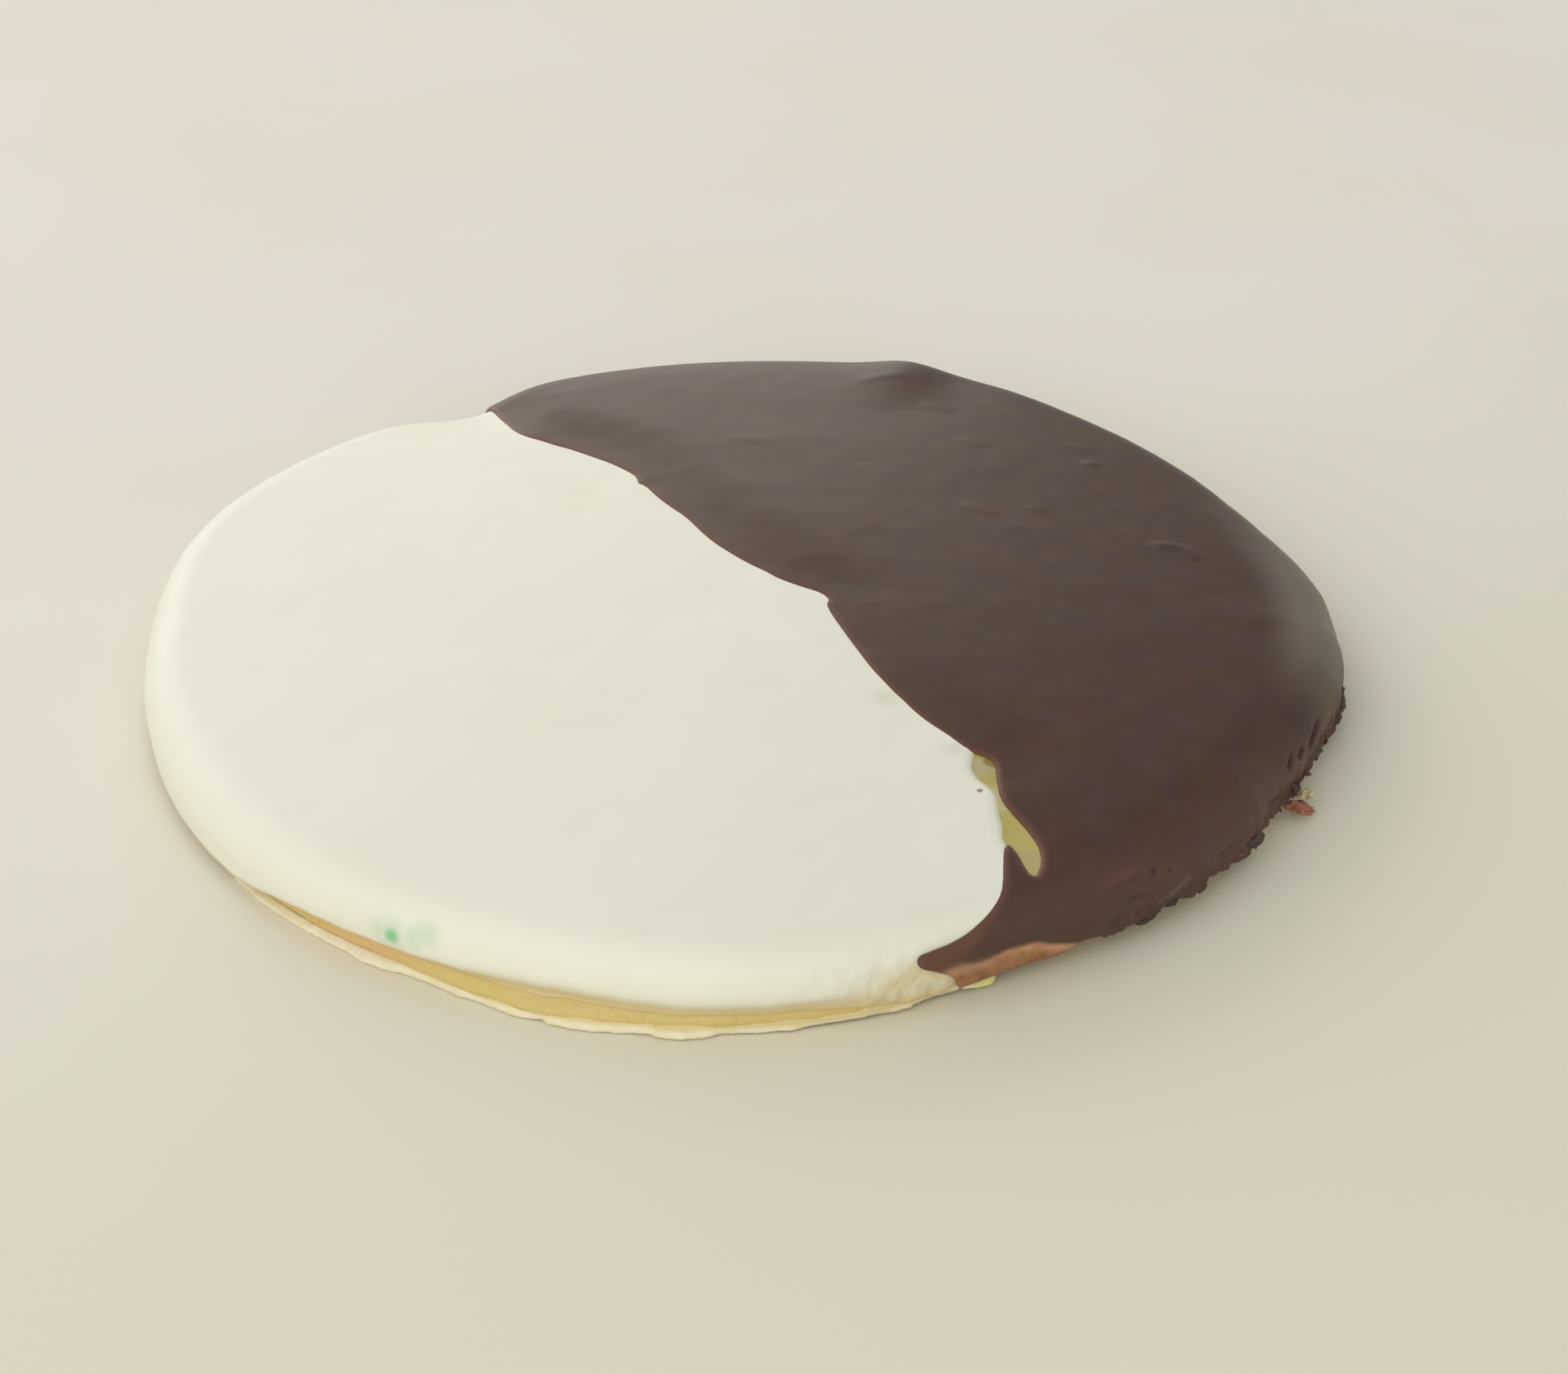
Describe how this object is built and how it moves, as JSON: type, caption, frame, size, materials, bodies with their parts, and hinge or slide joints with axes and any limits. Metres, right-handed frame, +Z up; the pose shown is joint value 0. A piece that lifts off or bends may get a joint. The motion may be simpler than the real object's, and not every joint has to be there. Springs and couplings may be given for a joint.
{
  "type": "black and white cookie",
  "caption": "Round, soft, low-domed cake cookie, part under white icing and part under chocolate icing, with a golden band of crust at the side and a crumbly chocolate hem.",
  "frame": {"origin": "on the surface the cookie stands on, under the middle of its outline", "axes": "+Z up through the cookie's thickness; +X from the white icing's side to the chocolate's side; +Y from the edge with the golden band to the far edge"},
  "size_m": [0.1316, 0.133, 0.0132],
  "materials": {
    "cake": "golden baked crust, dull, with a fine crumb",
    "white_icing": "set white icing, smooth, with a soft sheen",
    "chocolate_icing": "set dark chocolate icing, satin, crumbly at its hem"
  },
  "bodies": {
    "root": {"cake": "cake", "white_icing": "white_icing", "chocolate_icing": "chocolate_icing"}
  },
  "joints": []
}
